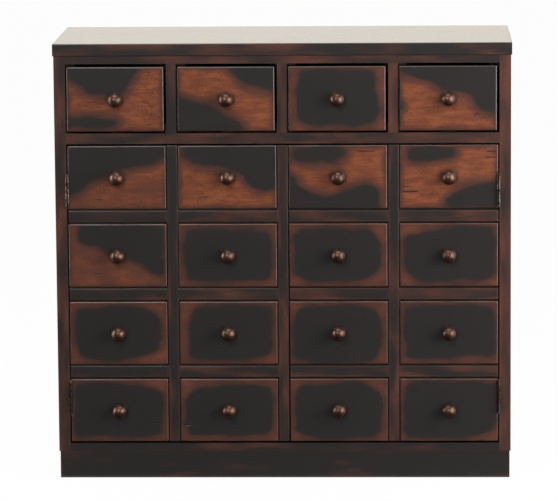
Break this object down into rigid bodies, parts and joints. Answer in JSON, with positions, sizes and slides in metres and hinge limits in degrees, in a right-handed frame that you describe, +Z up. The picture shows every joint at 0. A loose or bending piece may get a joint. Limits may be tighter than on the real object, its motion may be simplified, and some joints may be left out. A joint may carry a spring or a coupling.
{
  "type": "papelera cabinet",
  "caption": "Low wooden cabinet with a row of small drawers over two doors faced as more small drawers, each front with a ball knob.",
  "frame": {"origin": "on the floor, at the middle of the footprint of cabinet and knobs together", "axes": "+Z up, front towards -Y, +X to the right as seen from the front"},
  "size_m": [0.914, 0.386, 0.88],
  "materials": {
    "glazed_outer_wood": "dark glaze rubbed through to reddish brown stain, satin lacquer",
    "inner_stained_wood": "stained, thin satin lacquer",
    "drawer_box_wood": "clear sealed hardwood",
    "inner_plywood": "stained plywood",
    "bronzed_knob_metal": "oil-rubbed bronze, polished by touch",
    "antiqued_hinge_steel": "antiqued plating, dull",
    "plated_screw_steel": "zinc plated",
    "catch_plastic": "moulded brown plastic"
  },
  "bodies": {
    "cabinet": {"back_panel": "inner_plywood", "bottom_panel": "inner_stained_wood", "bottom_rail": "glazed_outer_wood", "door_catches": "catch_plastic", "drawer_deck": "inner_stained_wood", "drawer_kickers": "inner_stained_wood", "drawer_mullions": "glazed_outer_wood", "drawer_partitions": "inner_stained_wood", "drawer_runners": "inner_stained_wood", "drawer_stops": "inner_stained_wood", "frame_hinge_leaves": "antiqued_hinge_steel", "hinge_pins": "antiqued_hinge_steel", "left_side_panel": "glazed_outer_wood", "left_stile": "glazed_outer_wood", "mid_rail": "glazed_outer_wood", "plinth_back": "inner_stained_wood", "plinth_blocks": "inner_stained_wood", "plinth_front": "glazed_outer_wood", "plinth_sides": "glazed_outer_wood", "right_side_panel": "glazed_outer_wood", "right_stile": "glazed_outer_wood", "shelf": "inner_stained_wood", "shelf_pins": "plated_screw_steel", "top_panel": "glazed_outer_wood", "top_rail": "glazed_outer_wood"},
    "drawer_1": {"drawer_1_back": "drawer_box_wood", "drawer_1_bottom": "inner_plywood", "drawer_1_front": "glazed_outer_wood", "drawer_1_knob": "bronzed_knob_metal", "drawer_1_sides": "drawer_box_wood"},
    "drawer_2": {"drawer_2_back": "drawer_box_wood", "drawer_2_bottom": "inner_plywood", "drawer_2_front": "glazed_outer_wood", "drawer_2_knob": "bronzed_knob_metal", "drawer_2_sides": "drawer_box_wood"},
    "drawer_3": {"drawer_3_back": "drawer_box_wood", "drawer_3_bottom": "inner_plywood", "drawer_3_front": "glazed_outer_wood", "drawer_3_knob": "bronzed_knob_metal", "drawer_3_sides": "drawer_box_wood"},
    "drawer_4": {"drawer_4_back": "drawer_box_wood", "drawer_4_bottom": "inner_plywood", "drawer_4_front": "glazed_outer_wood", "drawer_4_knob": "bronzed_knob_metal", "drawer_4_sides": "drawer_box_wood"},
    "left_door": {"left_door_core": "glazed_outer_wood", "left_door_false_fronts": "glazed_outer_wood", "left_door_hinge_leaves": "antiqued_hinge_steel", "left_door_knobs": "bronzed_knob_metal", "left_door_strike": "plated_screw_steel", "left_door_strips": "glazed_outer_wood"},
    "right_door": {"right_door_core": "glazed_outer_wood", "right_door_false_fronts": "glazed_outer_wood", "right_door_hinge_leaves": "antiqued_hinge_steel", "right_door_knobs": "bronzed_knob_metal", "right_door_strike": "plated_screw_steel", "right_door_strips": "glazed_outer_wood"}
  },
  "joints": [
    {"name": "drawer_1_slide", "type": "slide", "parent": "cabinet", "child": "drawer_1", "axis": [0, -1, 0], "range_m": [0, 0.25]},
    {"name": "drawer_2_slide", "type": "slide", "parent": "cabinet", "child": "drawer_2", "axis": [0, -1, 0], "range_m": [0, 0.25]},
    {"name": "drawer_3_slide", "type": "slide", "parent": "cabinet", "child": "drawer_3", "axis": [0, -1, 0], "range_m": [0, 0.25]},
    {"name": "drawer_4_slide", "type": "slide", "parent": "cabinet", "child": "drawer_4", "axis": [0, -1, 0], "range_m": [0, 0.25]},
    {"name": "left_door_hinge", "type": "hinge", "parent": "cabinet", "child": "left_door", "pos_m": [-0.43075, -0.164, 0.37525], "axis": [0, 0, -1], "range_deg": [0, 160]},
    {"name": "right_door_hinge", "type": "hinge", "parent": "cabinet", "child": "right_door", "pos_m": [0.43075, -0.164, 0.37525], "axis": [0, 0, 1], "range_deg": [0, 160]}
  ]
}
